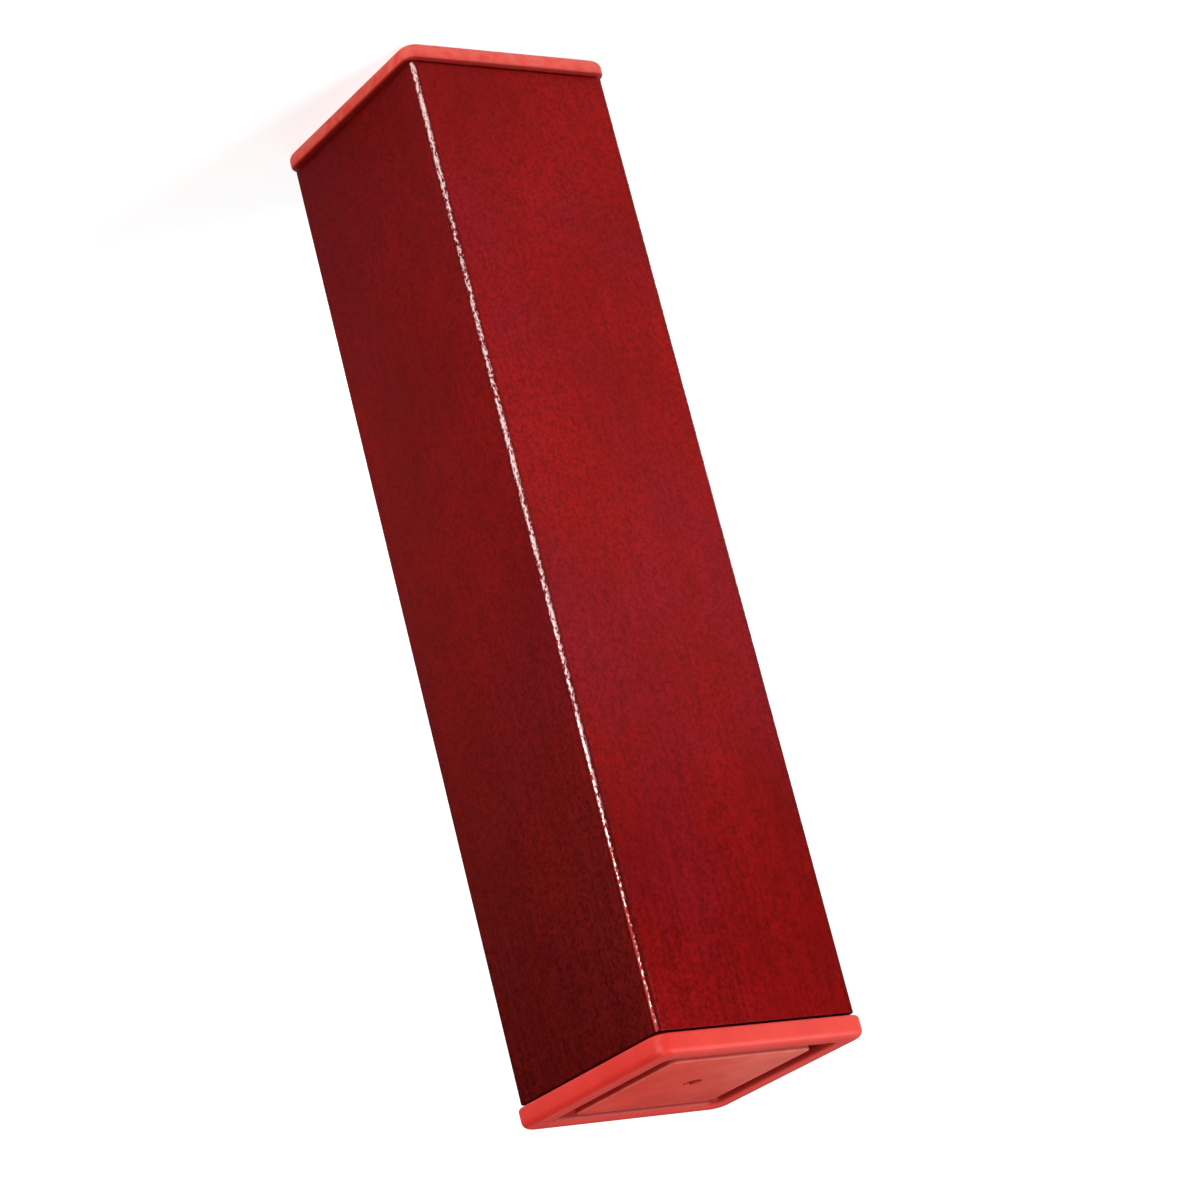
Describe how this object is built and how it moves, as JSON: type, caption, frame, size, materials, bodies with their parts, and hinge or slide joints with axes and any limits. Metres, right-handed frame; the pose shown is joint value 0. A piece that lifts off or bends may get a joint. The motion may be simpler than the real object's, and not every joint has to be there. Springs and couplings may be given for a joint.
{
  "type": "clay bar case",
  "caption": "Square metal tube case with push-in plastic end caps, holding a film-wrapped bar of detailing clay in a tray that draws out with one cap.",
  "frame": {"origin": "centre of the base cap's outer face, on the surface that the case stands on", "axes": "+Z along the sleeve from the base cap to the opening cap; -Y is the side where the tray's floor lies"},
  "size_m": [0.0262, 0.0262, 0.1108],
  "materials": {
    "anodised_sleeve": "red anodised over fine lengthwise brushing",
    "cap_plastic": "satin moulded, coral red",
    "plate_plastic": "fine matt texture, dusty coral red",
    "foam": "closed-cell foam",
    "tray_plastic": "satin moulded, natural white",
    "clay": "dense kneadable detailing clay, faintly oily",
    "film": "clear thin wrapping film"
  },
  "bodies": {
    "sleeve": {"outer_sleeve": "anodised_sleeve"},
    "base_plug": {"base_cap": "cap_plastic", "base_face_plate": "plate_plastic", "base_cushion": "foam"},
    "drawer": {"opening_cap": "cap_plastic", "opening_face_plate": "plate_plastic", "opening_cushion": "foam", "carrier_tray": "tray_plastic", "clay_bar": "clay", "clay_wrap": "film"}
  },
  "joints": [
    {"name": "drawer_pull", "type": "slide", "parent": "sleeve", "child": "drawer", "axis": [0, 0, 1], "range_m": [0, 0.09]},
    {"name": "sleeve_lift", "type": "slide", "parent": "base_plug", "child": "sleeve", "axis": [0, 0, 1], "range_m": [0, 0.012]}
  ]
}
